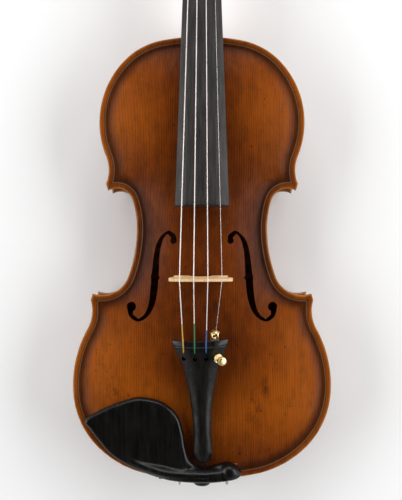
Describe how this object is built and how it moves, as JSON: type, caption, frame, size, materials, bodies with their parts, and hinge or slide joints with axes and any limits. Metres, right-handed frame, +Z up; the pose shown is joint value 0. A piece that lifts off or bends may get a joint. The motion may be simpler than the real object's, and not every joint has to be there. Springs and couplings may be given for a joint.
{
  "type": "violin",
  "caption": "Strung violin with arched body, curved sound holes, scroll head, tuning pegs, tailpiece with fine tuner, and a chin rest clamped over the tail gut.",
  "frame": {"origin": "middle of the bounding box in X and Y, at the lowest point of the back's arching", "axes": "lying on its back: +Z up through the strings, +Y from the tail to the scroll, +X to the treble side"},
  "size_m": [0.2077, 0.602, 0.0941],
  "materials": {
    "spruce": "glossy antique varnish",
    "maple": "glossy antique varnish",
    "inner_wood": "bare planed wood",
    "neck_maple": "oiled",
    "purfling": "varnished inlay",
    "ebony": "polished",
    "bridge_maple": "bare planed wood",
    "cork": "matte",
    "string_wire": "wound metal",
    "silk_yellow": "thread",
    "silk_green": "thread",
    "silk_blue": "thread",
    "gold": "polished plating",
    "clamp_metal": "polished plating",
    "gut_cord": "smooth"
  },
  "bodies": {
    "violin": {"top_plate": "spruce", "back_plate": "maple", "purfling_top": "purfling", "purfling_back": "purfling", "rib_lower_bass": "maple", "rib_lower_treble": "maple", "rib_middle_bass": "maple", "rib_middle_treble": "maple", "rib_upper_bass": "maple", "rib_upper_treble": "maple", "neck_block": "inner_wood", "end_block": "inner_wood", "corner_blocks_upper": "inner_wood", "corner_blocks_lower": "inner_wood", "linings_top": "inner_wood", "linings_back": "inner_wood", "bass_bar": "inner_wood", "sound_post": "inner_wood", "neck": "neck_maple", "head": "maple", "fingerboard": "ebony", "nut": "ebony", "saddle": "ebony", "string_g": "string_wire", "string_d": "string_wire", "string_a": "string_wire", "string_e": "string_wire", "silk_g": "silk_yellow", "silk_d": "silk_green", "silk_a": "silk_blue", "string_ball_ends": "gold", "bridge": "bridge_maple", "tailpiece": "ebony", "tailpiece_fret": "ebony", "tuner_body": "gold", "tuner_pivot_pin": "gold", "tuner_ring_nut": "gold", "tail_gut": "gut_cord", "tail_gut_nuts": "gold", "end_button": "ebony", "chinrest": "ebony", "chinrest_corks": "cork", "clamp_posts": "clamp_metal"},
    "peg_g": {"peg_g": "ebony", "winding_g": "string_wire"},
    "peg_e": {"peg_e": "ebony", "winding_e": "string_wire"},
    "peg_d": {"peg_d": "ebony", "winding_d": "string_wire"},
    "peg_a": {"peg_a": "ebony", "winding_a": "string_wire"},
    "tuner_shank": {"tuner_screw": "gold"},
    "tuner_knob": {"tuner_knob": "gold"},
    "tuner_lever": {"tuner_lever": "gold", "string_e_ball": "clamp_metal"},
    "clamp_barrel_bass": {"clamp_barrel_bass": "clamp_metal"},
    "clamp_barrel_treble": {"clamp_barrel_treble": "clamp_metal"},
    "clamp_foot": {"clamp_foot": "clamp_metal", "clamp_foot_cork": "cork"}
  },
  "joints": [
    {"name": "peg_g_turn", "type": "hinge", "parent": "violin", "child": "peg_g", "pos_m": [0, 0.21358, 0.0296], "axis": [-1, 0, 0], "continuous": true},
    {"name": "peg_e_turn", "type": "hinge", "parent": "violin", "child": "peg_e", "pos_m": [0, 0.22776, 0.02659], "axis": [1, 0, 0], "continuous": true},
    {"name": "peg_d_turn", "type": "hinge", "parent": "violin", "child": "peg_d", "pos_m": [0, 0.24195, 0.02358], "axis": [-1, 0, 0], "continuous": true},
    {"name": "peg_a_turn", "type": "hinge", "parent": "violin", "child": "peg_a", "pos_m": [0, 0.25564, 0.02066], "axis": [1, 0, 0], "continuous": true},
    {"name": "tuner_knob_turn", "type": "hinge", "parent": "tuner_shank", "child": "tuner_knob", "pos_m": [0.01193, -0.1904, 0.07562], "axis": [-0.3285, 0.1242, -0.9363], "range_deg": [0, 2571.4]},
    {"name": "tuner_screw_travel", "type": "slide", "parent": "violin", "child": "tuner_shank", "axis": [-0.3285, 0.1242, -0.9363], "range_m": [0, 0.0025]},
    {"name": "tuner_lever_tilt", "type": "hinge", "parent": "violin", "child": "tuner_lever", "pos_m": [0.00943, -0.17218, 0.07208], "axis": [0.9442, 0.0668, -0.3224], "range_deg": [0, 8.16]},
    {"name": "clamp_bass_barrel_turn", "type": "hinge", "parent": "violin", "child": "clamp_barrel_bass", "pos_m": [-0.0178, -0.29335, 0.0305], "axis": [0, 0, 1], "range_deg": [0, 1080]},
    {"name": "clamp_treble_barrel_turn", "type": "hinge", "parent": "violin", "child": "clamp_barrel_treble", "pos_m": [0.0198, -0.29335, 0.0305], "axis": [0, 0, 1], "range_deg": [0, 1080]},
    {"name": "clamp_foot_travel", "type": "slide", "parent": "violin", "child": "clamp_foot", "axis": [0, 0, -1], "range_m": [0, 0.004]}
  ],
  "couplings": [
    {"joint": "tuner_knob_turn", "follows": "tuner_screw_travel", "rad_per_m": 17952},
    {"joint": "tuner_lever_tilt", "follows": "tuner_screw_travel", "rad_per_m": 56.812},
    {"joint": "clamp_bass_barrel_turn", "follows": "clamp_foot_travel", "rad_per_m": 4712.3},
    {"joint": "clamp_treble_barrel_turn", "follows": "clamp_foot_travel", "rad_per_m": 4712.3}
  ]
}
